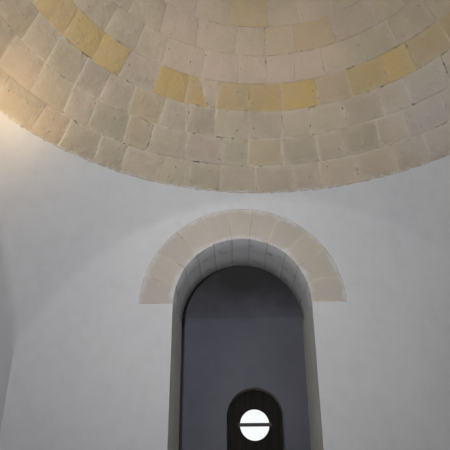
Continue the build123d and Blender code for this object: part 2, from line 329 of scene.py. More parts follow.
# %% Lime in the joints
def smeared_joint(stone, height):
    """Lime over the edges of a block: a ragged line, a soft smear round it, and a crack here and there."""
    margins = stone.carried("margins", "Vector").axes()
    across = stone.carried("local", "Vector").axes()
    fine = stone.noise(26, 4.0, 0.65)
    ragged = 0.015 - fine * 0.03
    wander = stone.noise(8, 3.0) * 0.036 - 0.018

    def off_joint(axis):
        """Distance from a line that wanders to both sides of the joint between two blocks."""
        signed = margins[axis] * arithmetic("SIGN", across[axis])
        return arithmetic("ABSOLUTE", signed - wander) + ragged

    side, bed = off_joint(0), off_joint(2)
    moved = stone.place + (7, 3, 5)
    bedded = stone.noise(2.2, 2.0, place=moved).remap(0.42, 0.58)
    line = side.remap(0.001, 0.018, 1, 0).most(bed.remap(0.0, 0.008, 1, 0) * bedded) * uneven_lime(stone)
    smear = (fine * 0.06 + side.least(bed)).remap(0.015, 0.08, 0.55, 0)
    smear = smear * stone.noise(4.6, 4.0, 0.65, place=moved).remap(0.38, 0.62)
    high_up = height.remap(*JOINTS_FADE, 1, FAINT)
    crack = (margins[0].least(margins[2]) + ragged).remap(0.0, 0.003, 1, 0)
    crack = crack * stone.noise(9, 2.0, place=moved).remap(0.61, 0.65)
    return (line * 0.78).most(smear) * high_up, crack * high_up


# %% Lime and lichen over the stone
def washed(stone, colour, centre, near, far, lime):
    """A wash of lime that ends between two distances from a centre. Ochre shows through it."""
    ends = {0: stone.place, 1: centre}
    away = new_field(stone.tree, "ShaderNodeVectorMath", ends, "Value", operation="DISTANCE")
    away = stone.noise(6, 5.0, 0.7) * 0.5 + away
    veil = away.remap(near, far, WASH_STRENGTH, 0) * (1 - stone.carried("ochre"))
    return veil.mix(colour, lime)


def lichened(stone, colour):
    """Pale lichen in patches, and rusty lichen over it."""
    colour = stone.noise(7, 6.0, 0.7).remap(0.55, 0.62, 0, 0.42).mix(colour, PALE_LICHEN)
    return stone.noise(3.3, 6.0, 0.75).remap(0.6, 0.66, 0, 0.45).mix(colour, RUSTY_LICHEN)


def limed_underside(stone, colour, limed):
    """Whitewash with dark blots on the underside of an arch, brushed a little way over its front edges."""
    underside = stone.carried("local", "Vector").axes()[2].remap(-0.49, -0.47, 1, 0)
    colour = (underside * limed).mix(colour, LIMED_STONE)
    blots = stone.noise(7, 5.0, 0.7).remap(0.5, 0.72, 0, 0.25)
    colour = (underside * blots).mix(colour, DARK_BLOT)
    off_edge = stone.carried("margins", "Vector").axes()[2]
    brushed = (stone.noise(11, 5.0, 0.7) * 0.16 + off_edge).remap(0.075, 0.12, 0.75, 0)
    return brushed.mix(colour, LIMED_STONE)


# %% The limestone recipe
def limestone(name, light, dark, roughness=0.9, blocks=True, pits=0.5, relief=1.0,
              mortared=1.0, limed=0.0, rim=None, washes=(), lichen=False):
    """Limestone from two tones, as blocks or as a mass, in the state that the other values say."""
    stone = Recipe(name, {"Roughness": roughness})
    height = stone.place.axes()[2]
    colour = stone.noise(2.6, 5.0, 0.6).remap(0.33, 0.68).mix(light, dark)
    crack = None
    if blocks:
        colour = block_tones(stone, colour, 1.0 if lichen else 0.5)
    elif mortared > 0:
        colour = uneven_lime(stone).mix(colour, MORTAR)
    if blocks and mortared > 0:
        lime, crack = smeared_joint(stone, height)
        colour = (lime * mortared).mix(colour, stone.carried("ochre").mix(MORTAR, OCHRE_LIME))
    for wash in washes:
        colour = washed(stone, colour, *wash)
    if rim is not None:
        frayed = stone.noise(27, 5.0, 0.75) * 0.075 + height
        colour = frayed.remap(rim + 0.036, rim + 0.05, 0.75, 0).mix(colour, LIMED_STONE)
    if lichen:
        colour = lichened(stone, colour)
    if limed > 0:
        colour = limed_underside(stone, colour, limed)
    grain = stone.noise(130, 2.0)
    colour = grain.remap(0.3, 0.75, 0, 0.14).mix(colour, DARK_GRAIN)
    worn = stone.noise(16, 4.0, 0.65)
    cells = {"Vector": stone.place, "Scale": 19.0, "Randomness": 1.0}
    pit = new_field(stone.tree, "ShaderNodeTexVoronoi", cells, "Distance").remap(0.035, 0.11, 1, 0)
    pit = pit * worn.remap(0.53, 0.59)
    dark = pit * pits
    bumps = [(stone.noise(5.5, 3.0), 1.2), (worn, 0.7), (grain, 0.12), (pit, -0.5)]
    if crack:
        dark = dark.most(crack * pits)
        bumps.append((crack, -0.4))
    return stone.finished(bumps, 0.007 * relief, dark.mix(colour, DARK_PIT))


# Each wash on the dome: its centre, where it starts to thin, where it ends, and its colour
DOME_WASHES = (
    ((1.34, 1.22, 2.98), 0.5, 0.78, GREY_LIME),
    ((-0.55, 1.22, 3.55), 0.45, 0.82, WARM_LIME),
    ((0.2, 1.32, 3.57), 0.45, 0.82, WARM_LIME),
)
DOME_TONES = (0.53, 0.448, 0.352, 1), (0.445, 0.38, 0.302, 1)
dome_stone = limestone("dome_limestone", *DOME_TONES, pits=0.9, relief=3.2, rim=dome_z, washes=DOME_WASHES)
crown_stone = limestone("crown_limestone", *DOME_TONES, mortared=0)
arch_stone = limestone("arch_limestone", (0.55, 0.5, 0.452, 1), (0.495, 0.445, 0.4, 1), pits=0.3,
                       mortared=0.4, limed=0.8)
roof_stone = limestone("roof_limestone", (0.42, 0.41, 0.38, 1), (0.27, 0.265, 0.25, 1), mortared=0,
                       lichen=True)
floor_stone = limestone("floor_limestone", (0.46, 0.42, 0.35, 1), (0.38, 0.345, 0.29, 1), 0.55, mortared=0)
mortar = limestone("lime_mortar", (0.48, 0.405, 0.32, 1), (0.40, 0.335, 0.27, 1), 0.95, blocks=False,
                   pits=0.35)
# Near black for the solids behind the roof's dry-laid slabs: painted shade in the gaps between the slabs.
gap_shade = limestone("gap_shade", (0.12, 0.11, 0.095, 1), (0.075, 0.07, 0.06, 1), 0.95, blocks=False,
                        mortared=0)
print("limestone in seven states")

# %% [markdown]
# Whitewash is lime laid over plaster by hand, year after year. It is never one white: broad clouds of
# slightly warmer and cooler lime, the trowel's long low waves under it, and a fine tooth from the brush.

# %% The whitewash
SOOT = (0.095, 0.088, 0.09, 1)
# The rubble's hollows are painted darker: dirt, and painted shade.
DIRT_AND_SHADE_TONE = (0.40, 0.385, 0.35, 1)
RAIN_STREAK = (0.43, 0.42, 0.39, 1)
SPLASHED_EARTH = (0.36, 0.33, 0.28, 1)
BARE_STONE_AND_SHADOW = (0.40, 0.345, 0.28, 1)


def weather_stains(lime, colour, strokes, height):
    """Dirt and painted shade in the hollows, streaks of rain, and earth splashed up from the ground."""
    hollows = lime.carried("hollow_dirt_and_shade") * strokes.remap(0.35, 0.65, 0.15, 0.62)
    colour = hollows.mix(colour, DIRT_AND_SHADE_TONE)
    streaks = lime.noise(1.6, 5.0, 0.65, place=lime.stretched((5.0, 5.0, 0.5))).remap(0.52, 0.7, 0, 0.3)
    colour = streaks.mix(colour, RAIN_STREAK)
    return (strokes * 0.55 + height).remap(0.2, 0.6, 0.6, 0).mix(colour, SPLASHED_EARTH)


def limewash(name, light, shade, rim=None, smoke=None, weathered=False):
    """Hand-laid lime plaster. It frays at a rim, where bare stone and a painted thin shadow show, is dark
    with smoke above a height, or is weathered.
    """
    lime = Recipe(name, {"Roughness": 0.88})
    colour = lime.noise(1.3, 4.0).remap(0.32, 0.68).mix(light, shade)
    strokes = lime.noise(9, 5.0, 0.6)
    colour = strokes.remap(0.45, 0.75, 0, 0.35).mix(colour, colour * (0.83, 0.83, 0.82))
    height = lime.place.axes()[2]
    if smoke is not None:
        drift = lime.noise(2.5, 3.0) * 0.4 + height
        colour = drift.remap(smoke, smoke + 0.35).mix(colour, SOOT)
    if weathered:
        colour = weather_stains(lime, colour, strokes, height)
    # Along the plaster's ragged top, bare stone shows, darkened as a painted thin shadow.
    if rim is not None:
        frayed = lime.noise(30, 5.0, 0.75) * 0.035 + height
        colour = frayed.remap(rim + 0.010, rim + 0.016).mix(colour, BARE_STONE_AND_SHADOW)
    trowel, tooth = lime.noise(3.2, 2.0), lime.noise(75, 3.0)
    return lime.finished([(trowel, 1.6), (strokes, 0.45), (tooth, 0.08)], 0.006, colour)


room_lime = limewash("room_limewash", (0.61, 0.612, 0.635, 1), (0.57, 0.575, 0.61, 1), dome_z)
outer_lime = limewash("outer_limewash", (0.72, 0.715, 0.70, 1), (0.64, 0.635, 0.62, 1), weathered=True)
# The alcove's plaster: its dark blue-grey is painted shade and painted cool window light; above a height it
# is dark with smoke.
shaded_smoked_lime = limewash("shade_and_smoke_limewash", (0.27, 0.27, 0.33, 1), (0.225, 0.225, 0.275, 1), smoke=2.22)
print("whitewash in three states")

# %% [markdown]
# The alcove's window is a round light in a stained timber panel, with one iron bar across it. A picture of
# wood grain would do for so small a piece, but a stretched noise needs no picture, and it gives the colour
# and the bumps at once.

# %% Floor of the studio, wood, iron and glass
def dark_timber():
    """Old stained boards, the grain running up them."""
    board = Recipe("dark_timber", {"Roughness": 0.65, "Specular IOR Level": 0.25})
    grain = board.noise(3.0, 6.0, 0.6, place=board.stretched((16.0, 16.0, 1.2)))
    colour = grain.remap(0.3, 0.7).mix((0.010, 0.008, 0.007, 1), (0.03, 0.02, 0.014, 1))
    return board.finished([(grain, 1.0)], 0.002, colour)


def wrought_iron():
    """Hammered iron with a thin black coat."""
    bar = Recipe("wrought_iron", {"Roughness": 0.45, "Metallic": 0.6})
    hammered = bar.noise(60, 2.0)
    colour = hammered.mix((0.02, 0.02, 0.022, 1), (0.06, 0.05, 0.045, 1))
    return bar.finished([(hammered, 1.0)], 0.001, colour)


def window_pane():
    """Clear glass, a little uneven."""
    clear = {"Roughness": 0.03, "Base Color": (0.95, 0.98, 0.98, 1), "Transmission Weight": 1.0, "IOR": 1.1}
    pane = Recipe("window_pane", clear)
    return pane.finished([(pane.noise(7, 1.0), 1.0)], 0.0005)


studio = Recipe("studio_floor", {"Roughness": 0.9, "Base Color": (0.82, 0.82, 0.81, 1)})
ground.data.materials.append(studio.material)
timber, iron, glass = dark_timber(), wrought_iron(), window_pane()
print("materials:", len(bpy.data.materials))

# %% Finishes of the solids that stay
# The solids behind the roof's slabs are painted near black, as painted shade in their gaps.
finish_of = {
    "room_floor": floor_stone, "front_threshold": floor_stone, "back_threshold": floor_stone,
    "alcove_floor": floor_stone, "window_panel": timber, "window_bar": iron, "window_glass": glass,
    "closing_stone": crown_stone, "corner_fill": mortar, "roof_fill": mortar, "coping": gap_shade,
    "eaves_course": gap_shade, "roof_slabs": gap_shade, "alcove_roof": gap_shade,
    "door_arch": mortar, "alcove_arch": mortar,
}
for name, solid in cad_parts.items():
    finish = finish_of.get(name, mortar if name.startswith("dome") else outer_lime)
    for slot in solid.material_slots:
        slot.material = finish
print("solids finished:", len(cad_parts))

# %% [markdown]
# ## One tree for every worn block
# A dressed stone is a box whose edges have worn round and whose faces aren't quite true. Geometry Nodes
# suit it: a row of points says where each block lies and how large it is, the tree puts a small box on
# every point, and then works in metres, so that a long block and a short one have the same worn edge.
# Each box has a row of points close to its edges. The outermost row is pulled in along a quarter circle,
# which is the wear. Noise that depends on the place moves neighbours together, so joints stay even.

# %% The worn block tree
TREE_INPUTS = (
    ("Geometry", "Geometry"), ("Columns", "Int"), ("Layers", "Int"), ("Rows", "Int"),
    ("Inner Rows", "Vector"), ("Wear", "Float"), ("Unevenness", "Float"), ("Seed", "Float"),
    ("Finish", "Material"),
)


def build_block_tree():
    """Points with size, tone and ochre become worn blocks."""
    tree = bpy.data.node_groups.new("worn_blocks", "GeometryNodeTree")
    for name, kind in TREE_INPUTS:
        tree.interface.new_socket(name, in_out="INPUT", socket_type=f"NodeSocket{kind}")
    tree.interface.new_socket("Geometry", in_out="OUTPUT", socket_type="NodeSocketGeometry")
    given = {socket.name: Field(tree, socket) for socket in tree.nodes.new("NodeGroupInput").outputs}

    def named(name):
        """The vector that each point or block carries under a name."""
        return new_field(tree, "GeometryNodeInputNamedAttribute", {"Name": name}, data_type="FLOAT_VECTOR")

    def store(geometry, name, value):
        """Keep a vector on the points under a name."""
        feeds = {"Geometry": geometry, "Name": name, "Value": value}
        kind = "GeometryNodeStoreNamedAttribute"
        return new_field(tree, kind, feeds, data_type="FLOAT_VECTOR", domain="POINT")

    cuts = {"Vertices X": given["Columns"], "Vertices Y": given["Layers"], "Vertices Z": given["Rows"]}
    position = new_field(tree, "GeometryNodeInputPosition")
    box = store(new_field(tree, "GeometryNodeMeshCube", cuts), "local", position)
    points = store(given["Geometry"], "centre", position)
    placed = new_field(tree, "GeometryNodeInstanceOnPoints", {"Points": points, "Instance": box})
    blocks = new_field(tree, "GeometryNodeRealizeInstances", {0: placed})

    local, wear = named("local"), given["Wear"]
    side = arithmetic("SIGN", local)
    reach = arithmetic("ABSOLUTE", local) * 2
    core = named("size") * 0.5 - wear
    flat = (reach / given["Inner Rows"]).least(1) * core
    outermost = arithmetic("FLOOR", reach + 0.001)
    outward = arithmetic("NORMALIZE", outermost * side)
    margins = (core + wear - flat) * (1 - outermost)
    place = flat * side + outward * wear + named("centre")

    cells = {"Vector": place + given["Seed"] * (3.1, 5.7, 1.9), "Scale": 9.0, "Detail": 2.0}
    rough = new_field(tree, "ShaderNodeTexNoise", cells, "Color") - 0.5
    place = place + rough * given["Unevenness"]
    blocks = store(blocks, "margins", margins)
    blocks = new_field(tree, "GeometryNodeSetPosition", {"Geometry": blocks, "Position": place})
    blocks = new_field(tree, "GeometryNodeSetMaterial", {"Geometry": blocks, "Material": given["Finish"]})
    feed(tree, tree.nodes.new("NodeGroupOutput"), {0: blocks})
    return tree


block_tree = build_block_tree()
print("worn block tree:", len(block_tree.nodes), "nodes")


# %% From a row of points to a mesh
def new_piece(name, points, faces, finish=None):
    """A mesh object from points and faces."""
    mesh = bpy.data.meshes.new(name)
    mesh.from_pydata(points, [], faces)
    if finish:
        mesh.materials.append(finish)
    piece = bpy.data.objects.new(name, mesh)
    bpy.context.scene.collection.objects.link(piece)
    return piece


def settle(piece):
    """Turn the result of a piece's modifiers into its plain mesh."""
    bpy.context.view_layer.update()
    result = bpy.data.meshes.new_from_object(piece.evaluated_get(bpy.context.evaluated_depsgraph_get()))
    piece.modifiers.clear()
    piece.data = result


BLOCK_VALUES = (("size", "FLOAT_VECTOR", "vector"), ("tone", "FLOAT", "value"), ("ochre", "FLOAT", "value"))


def lay_blocks(name, blocks, finish, cuts=(6, 4, 5), wear=0.012, unevenness=0.008, seed=1.0):
    """Worn blocks from a list of (centre, size, tone, ochre), still laid out flat."""
    piece = new_piece(name, [block[0] for block in blocks], [])
    for column, (attribute, kind, key) in enumerate(BLOCK_VALUES, 1):
        values = np.array([block[column] for block in blocks], np.float32)
        piece.data.attributes.new(attribute, kind, "POINT").data.foreach_set(key, values.ravel())
    inputs = {
        "Columns": cuts[0], "Layers": cuts[1], "Rows": cuts[2],
        "Inner Rows": [(cut - 3) / (cut - 1) if cut > 3 else 1.0 for cut in cuts],
        "Wear": wear, "Unevenness": unevenness, "Seed": seed, "Finish": finish,
    }
    modifier = piece.modifiers.new("blocks", "NODES")
    modifier.node_group = block_tree
    for item in block_tree.interface.items_tree:
        if item.name in inputs:
            modifier[item.identifier] = inputs[item.name]
    settle(piece)
    return piece


def split_row(start, length, width, draw, spread=0.35, least=5):
    """Middles and widths of stones about as wide as asked, which fill a length exactly."""
    shares = [draw.uniform(1 - spread, 1 + spread) for _ in range(max(least, round(length / width)))]
    row = []
    for share in shares:
        part = length * share / sum(shares)
        row.append((start + part / 2, part))
        start += part
    return row


def move_points(piece, rule):
    """Move every point of a piece by a rule that takes and gives X, Y and Z arrays."""
    points = np.empty(len(piece.data.vertices) * 3, np.float32)
    piece.data.vertices.foreach_get("co", points)
    moved = np.stack(rule(*points.reshape(-1, 3).T), axis=1)
    piece.data.vertices.foreach_set("co", moved.astype(np.float32).ravel())
    piece.data.update()


def finish_piece(piece, slot_name, *replaced, soft=50):
    """Shade a piece softly up to an angle, let it ride on the house and stand for what it replaces."""
    if soft:
        for polygon in piece.data.polygons:
            polygon.use_smooth = True
        piece.data.set_sharp_from_angle(angle=math.radians(soft))
    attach(piece, "root")
    if replaced:
        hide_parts(*replaced)
    triangles = sum(len(polygon.vertices) - 2 for polygon in piece.data.polygons)
    print(piece.name, "has", triangles, "triangles")


# %% [markdown]
# ## The dome's stones
# Each ring of the dome is a row of blocks about as wide as two hands. The row is laid out flat, with widths
# drawn from a fixed seed, and then wrapped round the cone. The ring's own solid stays behind the blocks, a
# few millimetres deeper, and shows in the joints as lime mortar. No joint is quite upright. The fourth
# ring is the ochre one. Its stones on the alcove's side are listed from left to right, because two grey
# ones interrupt the colour, and one ochre stone is broken off along a slant. Single stones in other rings
# are a little ochre too: each is listed by its ring, its angle from the alcove and its strength.

# %% A ring of stones, laid out flat and wrapped
STONE_WIDTH = 0.272
DOME_JOINT = 0.003
STONE_PROUD = 0.003
PROUD_SPREAD = (-0.0015, 0.0025)
STONE_DEPTH = 0.05
LEAN = math.atan(dome_slope)
SLANT = course_rise / math.cos(LEAN)

OCHRE_RING = 3
OCHRE_START = math.radians(-76)
OCHRE_STONES = [
    (0.29, 0.7), (0.27, 0.75), (0.24, 0.85), (0.29, 0.0), (0.27, 1.0), (0.14, 0.85), (0.12, 0.0), (0.27, 0.7),
    (0.28, 0.9), (0.29, 1.0), (0.27, 0.35), (0.285, 0.7), (0.22, 0.85), (0.29, 0.5), (0.28, 0.45),
]
OCHRE_SHADES = (0.4, 0.6, 0.8, 0.9)
BROKEN_STONE = 6
BROKEN_SKEW = -0.13
JOINT_LEAN = 0.02
LOW_WEAR, HIGH_WEAR = 0.0045, 0.0025
LONE_OCHRE = (
    (6, -4.3, 0.5), (5, 23.0, 0.5), (5, 1.9, 0.25), (2, -40.0, 0.25), (1, -37.5, 0.2), (1, -2.0, 0.2),
    (0, -55.0, 0.15),
)


def ring_widths(ring, radius, draw):
    """Widths of a ring's stones and how ochre each is, from the angle where the row starts."""
    start = draw.uniform(0, 2 * math.pi)
    listed = []
    if ring == OCHRE_RING:
        start = OCHRE_START
        listed = list(OCHRE_STONES)
    rest = 2 * math.pi * radius - sum(width for width, _ in listed)
    for _, width in split_row(0, rest, STONE_WIDTH, draw, 0.22, 6):
        listed.append((width, draw.choice(OCHRE_SHADES) if ring == OCHRE_RING else 0.0))
    return start, listed


def lone_stone(ring, azimuth, half_width, ochre):
    """How ochre a stone is, after the list of lone ochre stones."""
    for lone_ring, lone_azimuth, amount in LONE_OCHRE:
        if ring == lone_ring and abs(azimuth - lone_azimuth) < half_width:
            ochre = amount
    return ochre


def dome_ring(ring):
    """One ring of worn stones on the inner face of the dome."""
    draw = random.Random(40 + ring)
    radius = dome_radius - (ring + 0.5) * course_rise * dome_slope
    start, listed = ring_widths(ring, radius, draw)
    blocks, joints, skews = [], [0.0], [0.0]
    along = 0.0
    for width, ochre in listed:
        azimuth = math.degrees((start + (along + width / 2) / radius + math.pi) % (2 * math.pi) - math.pi)
        ochre = lone_stone(ring, azimuth, math.degrees(width / 2 / radius), ochre)
        proud = STONE_PROUD + draw.uniform(*PROUD_SPREAD)
        centre = (along + width / 2, STONE_DEPTH / 2 - proud, SLANT / 2)
        size = (width - DOME_JOINT, STONE_DEPTH, SLANT - DOME_JOINT)
        tone = draw.random() if ring <= OCHRE_RING else 0.1 + 0.4 * draw.random()
        blocks.append((centre, size, tone, ochre))
        along += width
        joints.append(along)
        broken = ring == OCHRE_RING and len(skews) == BROKEN_STONE
        skews.append(BROKEN_SKEW if broken else draw.uniform(-JOINT_LEAN, JOINT_LEAN))
    skews[-1] = 0.0
    wear = LOW_WEAR if ring <= OCHRE_RING else HIGH_WEAR
    piece = lay_blocks(f"dome_stones_{ring + 1:02d}", blocks, dome_stone, wear=wear, seed=ring)
    foot_z = dome_z + ring * course_rise
    foot_radius = dome_radius - ring * course_rise * dome_slope

    def wrap(x, y, z):
        angle = start + (x + np.interp(x, joints, skews) * (z / SLANT - 0.5)) / radius
        reach = foot_radius - z * math.sin(LEAN) + y * math.cos(LEAN)
        height = foot_z + z * math.cos(LEAN) + y * math.sin(LEAN)
        return reach * np.sin(angle), reach * np.cos(angle), height

    move_points(piece, wrap)
    finish_piece(piece, "ochre_stone" if ring == OCHRE_RING else "dome_stone")


for ring in range(course_count):
    dome_ring(ring)

# %% [markdown]
# ## The voussoirs
# Eleven wedges carry the wall over each opening. They are the same worn blocks, laid in a row and bent
# round the opening, and they run the whole depth of the wall. A thin ring of mortar fills what the
# joints leave open, so the solid arch with its empty joints is replaced.

# %% Both arches
VOUSSOIRS = 11
ARCH_JOINT = 0.004
ARCH_PROUD = 0.003
ARCH_FRONT = 0.010
ARCH_TONES = 0.7
JOINT_SHIFT = 0.012
MORTAR_FRONT = 0.0085
MORTAR_DEPTH = 0.006
MORTAR_END = 0.997
MORTAR_STEPS = 66
COAT = 0.016
MERGE_REACH = 0.00005


def wall_face_at(z):
    """Distance from the room's middle to the outer face of its walls, at a height."""
    return wall_foot_face + (wall_top_face - wall_foot_face) * z / wall_top


def bend_to_arch(piece, facing, arc, front):
    """Bend a flat row round the opening. Y runs from the room's face, 0, to the outer face, 1."""

    def wrap(x, y, z):
        angle = math.pi * (1 - x / arc)
        radius = arch_inner + z
        height = arch_z + radius * np.sin(angle)
        depth = half_room - front + y * (wall_face_at(height) + front + COAT - half_room)
        return arch_x + radius * np.cos(angle), facing * depth, height

    move_points(piece, wrap)
    if facing < 0:
        piece.data.flip_normals()
    close_and_orient(piece)


def close_and_orient(piece):
    """Merge doubles and make every face point outwards."""
    shell = bmesh.new()
    shell.from_mesh(piece.data)
    bmesh.ops.remove_doubles(shell, verts=shell.verts, dist=MERGE_REACH)
    bmesh.ops.recalc_face_normals(shell, faces=shell.faces)
    if shell.calc_volume(signed=True) < 0:
        bmesh.ops.reverse_faces(shell, faces=shell.faces)
    shell.to_mesh(piece.data)
    shell.free()


def grid_faces(rows, columns, closed=True, first=0, flipped=False):
    """Faces between rows of points. A closed grid joins its last column to its first."""
    faces = []
    for row in range(first, first + (rows - 1) * columns, columns):
        for column in range(columns if closed else columns - 1):
            a, b = row + column, row + (column + 1) % columns
            faces.append((a, a + columns, b + columns, b) if flipped else (a, b, b + columns, a + columns))
    return faces


def arch_mortar(name, facing):
    """Ring of mortar just behind the faces of the voussoirs."""
    thickness = arch_outer - arch_inner
    section = ((0, MORTAR_DEPTH), (MORTAR_END, MORTAR_DEPTH), (MORTAR_END, thickness), (0, thickness))
    shares = [step / MORTAR_STEPS for step in range(MORTAR_STEPS + 1)]
    points = [(share, depth, rise) for share in shares for depth, rise in section]
    last = 4 * MORTAR_STEPS
    faces = grid_faces(MORTAR_STEPS + 1, 4, flipped=True)
    faces += [(0, 1, 2, 3), (last + 3, last + 2, last + 1, last)]
    piece = new_piece(name, points, faces, mortar)
    bend_to_arch(piece, facing, 1.0, MORTAR_FRONT)
    finish_piece(piece, "arch_stone", soft=None)


def voussoir_arch(name, facing, node, seed):
    """Worn voussoirs and their mortar, for one opening."""
    draw = random.Random(seed)
    arc = math.pi * (arch_inner + arch_outer) / 2
    inner = [arc * k / VOUSSOIRS + draw.uniform(-JOINT_SHIFT, JOINT_SHIFT) for k in range(1, VOUSSOIRS)]
    joints = [0.0, *inner, arc]
    blocks = []
    for left, right in zip(joints, joints[1:]):
        centre = ((left + right) / 2, 0.5, (arch_outer - arch_inner) / 2)
        size = (right - left - ARCH_JOINT, 1.0, arch_outer - arch_inner + ARCH_PROUD)
        blocks.append((centre, size, draw.random() * ARCH_TONES, 0.0))
    piece = lay_blocks(name, blocks, arch_stone, (6, 6, 6), wear=0.005, unevenness=0.007, seed=seed)
    bend_to_arch(piece, facing, arc, ARCH_FRONT)
    finish_piece(piece, "arch_stone", node)
    arch_mortar(f"{name}_mortar", facing)


voussoir_arch("alcove_voussoirs", 1, "alcove_arch", 3)
voussoir_arch("door_voussoirs", -1, "door_arch", 8)

# %% [markdown]
# ## The plaster inside the room
# Lime plaster was trowelled over the walls and the curved corners in one coat, so no crease in the room
# is sharp. The shape follows a rule: at each height the room is a square, cut by the circle where the
# sphere of the curved corners is at that height. A soft minimum of the distances to two walls and to the
# circle gives the plaster's face. The openings are then cut out along the backs of the voussoirs.

# %% A closed coat, and how it is cut
CUTTER_REACH = 3
BELOW_FLOOR = 0.1
ARCH_CLEARANCE = 0.001


def coat_mesh(name, pairs, columns, closed, material, hollow_dirt_and_shade=()):
    """A closed coat from rows of pairs of points, one on its face and one on its bed."""
    points = [pair[side] for side in (0, 1) for pair in pairs]
    back = len(pairs)
    rows, top = back // columns, back - columns
    faces = grid_faces(rows, columns, closed) + grid_faces(rows, columns, closed, back, True)
    for a in range(columns if closed else columns - 1):
        b = (a + 1) % columns
        faces.append((a, back + a, back + b, b))
        faces.append((top + a, top + b, back + top + b, back + top + a))
    for a in range(0, 0 if closed else top, columns):
        b = a + columns
        faces.append((a, b, back + b, back + a))
        faces.append((b - 1, back + b - 1, back + b + columns - 1, b + columns - 1))
    piece = new_piece(name, points, faces, material)
    # Each point carries how deep in a hollow it lies, where the limewash paints dirt and shade.
    if hollow_dirt_and_shade:
        values = np.zeros(len(points), np.float32)
        values[:len(hollow_dirt_and_shade)] = hollow_dirt_and_shade
        piece.data.attributes.new("hollow_dirt_and_shade", "FLOAT", "POINT").data.foreach_set("value", values)
    close_and_orient(piece)
    return piece


def arc_points(across, up, radius, steps, start=0.0, end=math.pi):
    """Points along an arc about a centre, from one angle to another."""
    angles = [start + (end - start) * step / steps for step in range(steps + 1)]
    return [(across + radius * math.cos(angle), up + radius * math.sin(angle)) for angle in angles]


def cut_out(piece, outline, front, back):
    """Cut a prism out of a closed coat: an outline in X and Z, drawn out along Y."""
    count = len(outline)
    points = [(x, y, z) for y in (front, back) for x, z in outline]
    faces = [tuple(range(count)), tuple(range(2 * count - 1, count - 1, -1))]
    faces += [(k, (k + 1) % count, (k + 1) % count + count, k + count) for k in range(count)]
    cutter = new_piece("cutter", points, faces)
    close_and_orient(cutter)
    modifier = piece.modifiers.new("cut", "BOOLEAN")
    modifier.object = cutter
    modifier.solver = "EXACT"
    settle(piece)
    bpy.data.objects.remove(cutter)


def cut_doorways(piece):
    """Cut both openings out of a coat, along the backs of the voussoirs and over the jambs."""
    left, right, foot = arch_x - arch_inner, arch_x + arch_inner, floor_top - BELOW_FLOOR
    arc = arc_points(arch_x, arch_z, arch_outer + ARCH_CLEARANCE, 60)
    outline = [(right, foot), (right, arch_z), *arc, (left, arch_z), (left, foot)]
    cut_out(piece, outline, -CUTTER_REACH, CUTTER_REACH)


def hand_laid(place, waves):
    """How far hand-laid plaster stands out at a place, from (height, scale) waves."""
    return sum(height * noise.noise([axis * scale for axis in place]) for height, scale in waves)


# %% The plaster's face
PLASTER = 0.012
PLASTER_BED = 0.006
SOFT_CORNER = 0.045
FAR_AWAY = 9.0
FADE_BELOW_DOME = 0.25
RAGGED_TOP = 0.005
PLASTER_WAVES = ((0.004, 1.6), (0.0015, 6))
PLASTER_ROWS = 72
PLASTER_COLUMNS = 420
corner_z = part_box("pendentive_back_left")[0].z
corner_radius = half_room * math.sqrt(2)
sphere_z = (dome_z**2 - corner_z**2 + dome_radius**2 - corner_radius**2) / (2 * (dome_z - corner_z))
sphere_radius = math.hypot(dome_radius, dome_z - sphere_z)


def soft_minimum(first, second, reach):
    """The lesser of two distances, with the crossing rounded off over a reach."""
    blend = np.clip(0.5 + 0.5 * (second - first) / reach, 0, 1)
    return second * (1 - blend) + first * blend - reach * blend * (1 - blend)


def room_reach(azimuth, z):
    """Distance from the room's middle axis to the plaster's bed, at an azimuth and a height."""
    to_side = half_room / max(abs(math.sin(azimuth)), 1e-6)
    to_end = half_room / max(abs(math.cos(azimuth)), 1e-6)
    to_sphere = math.sqrt(sphere_radius**2 - (z - sphere_z) ** 2)
    square = soft_minimum(min(to_side, FAR_AWAY), min(to_end, FAR_AWAY), SOFT_CORNER)
    fade = SOFT_CORNER * np.clip((dome_z - z) / FADE_BELOW_DOME, 0.02, 1)
    return float(soft_minimum(square, to_sphere, fade))


def plaster_coat():
    """A closed coat over the four walls and the curved corners, with a ragged top."""
    pairs = []
    for row in range(PLASTER_ROWS + 1):
        z = floor_top + (dome_z - floor_top) * row / PLASTER_ROWS
        for column in range(PLASTER_COLUMNS):
            azimuth = 2 * math.pi * column / PLASTER_COLUMNS
            reach = room_reach(azimuth, z)
            x, y = math.sin(azimuth), math.cos(azimuth)
            face = reach - PLASTER + hand_laid((x * reach, y * reach, z), PLASTER_WAVES)
            bed = reach + PLASTER_BED
            lift = RAGGED_TOP * noise.noise((x * 17, y * 17, 3)) if row == PLASTER_ROWS else 0.0
            pairs.append(((x * face, y * face, z + lift), (x * bed, y * bed, z)))
    piece = coat_mesh("room_plaster", pairs, PLASTER_COLUMNS, True, room_lime)
    cut_doorways(piece)
    finish_piece(piece, "whitewash", soft=40)


plaster_coat()

# %% [markdown]
# ## The cone of thin slabs
# The roof is a dry skin of flat stones, laid in some sixty rings that step in as they rise. The solid has
# the steps. The slabs over them are blocks again, but there are well over a thousand, so each has few
# faces. They are laid out in rows and then bent, and their joints are never in line.

# %% Rings of slabs on the cone
cone_low, cone_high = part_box("roof_slabs")
CONE_TOP_RADIUS = 0.33
RING_HEIGHT = 0.052
CONE_RINGS = round((cone_high.z - cone_low.z) / RING_HEIGHT)
RING_SETBACK = (cone_high.x - CONE_TOP_RADIUS) / (CONE_RINGS - 1)
SLAB_WIDTH = 0.33
NARROWER_AT_TOP = 0.4
SLAB_DEPTH = 0.16
SLAB_GAP = 0.006
SLAB_PROUD = 0.008
SLAB_OUT = (-0.005, 0.014)
SLAB_UP = (0.003, 0.005)
SLAB_THINNER = (0.004, 0.008)


def bend_round(piece, radius):
    """Bend rows that run along X round the Z axis. Y runs inwards from the radius."""

    def wrap(x, y, z):
        return -(radius - y) * np.sin(x / radius), (radius - y) * np.cos(x / radius), z

    move_points(piece, wrap)


